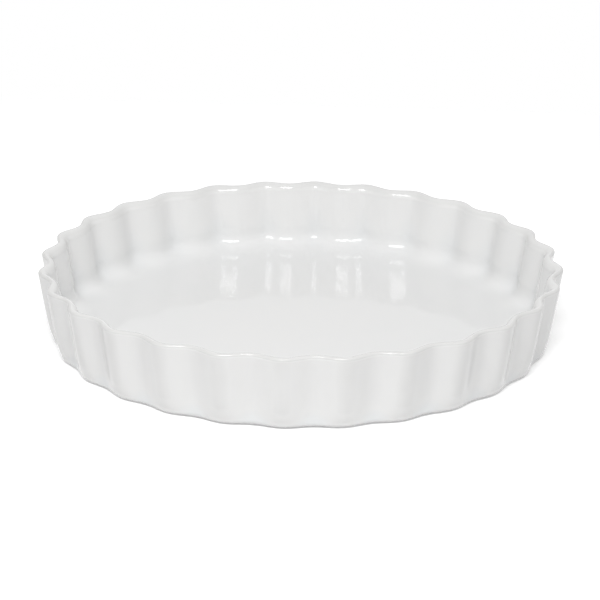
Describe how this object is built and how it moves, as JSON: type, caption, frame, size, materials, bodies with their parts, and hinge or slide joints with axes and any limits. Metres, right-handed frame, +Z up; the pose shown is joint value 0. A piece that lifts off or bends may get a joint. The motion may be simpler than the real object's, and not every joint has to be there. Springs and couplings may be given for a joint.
{
  "type": "tart dish",
  "caption": "Round low baking dish in white glazed porcelain with a flat floor, an upright fluted wall, a rounded scalloped rim and an unglazed foot ring, for tarts and quiches.",
  "frame": {"origin": "centre of the foot ring, on the table", "axes": "+Z up through the middle of the dish; lobe crests lie on the X and Y axes"},
  "size_m": [0.28, 0.28, 0.04],
  "materials": {
    "glazed_porcelain": "clear gloss glaze over a white body",
    "bare_porcelain": "unglazed, ground flat, fine matt grain"
  },
  "bodies": {
    "root": {"foot_ring": "bare_porcelain", "base_plate": "glazed_porcelain", "cove_ring": "glazed_porcelain", "fluted_wall": "glazed_porcelain", "rim_lip": "glazed_porcelain"}
  },
  "joints": []
}
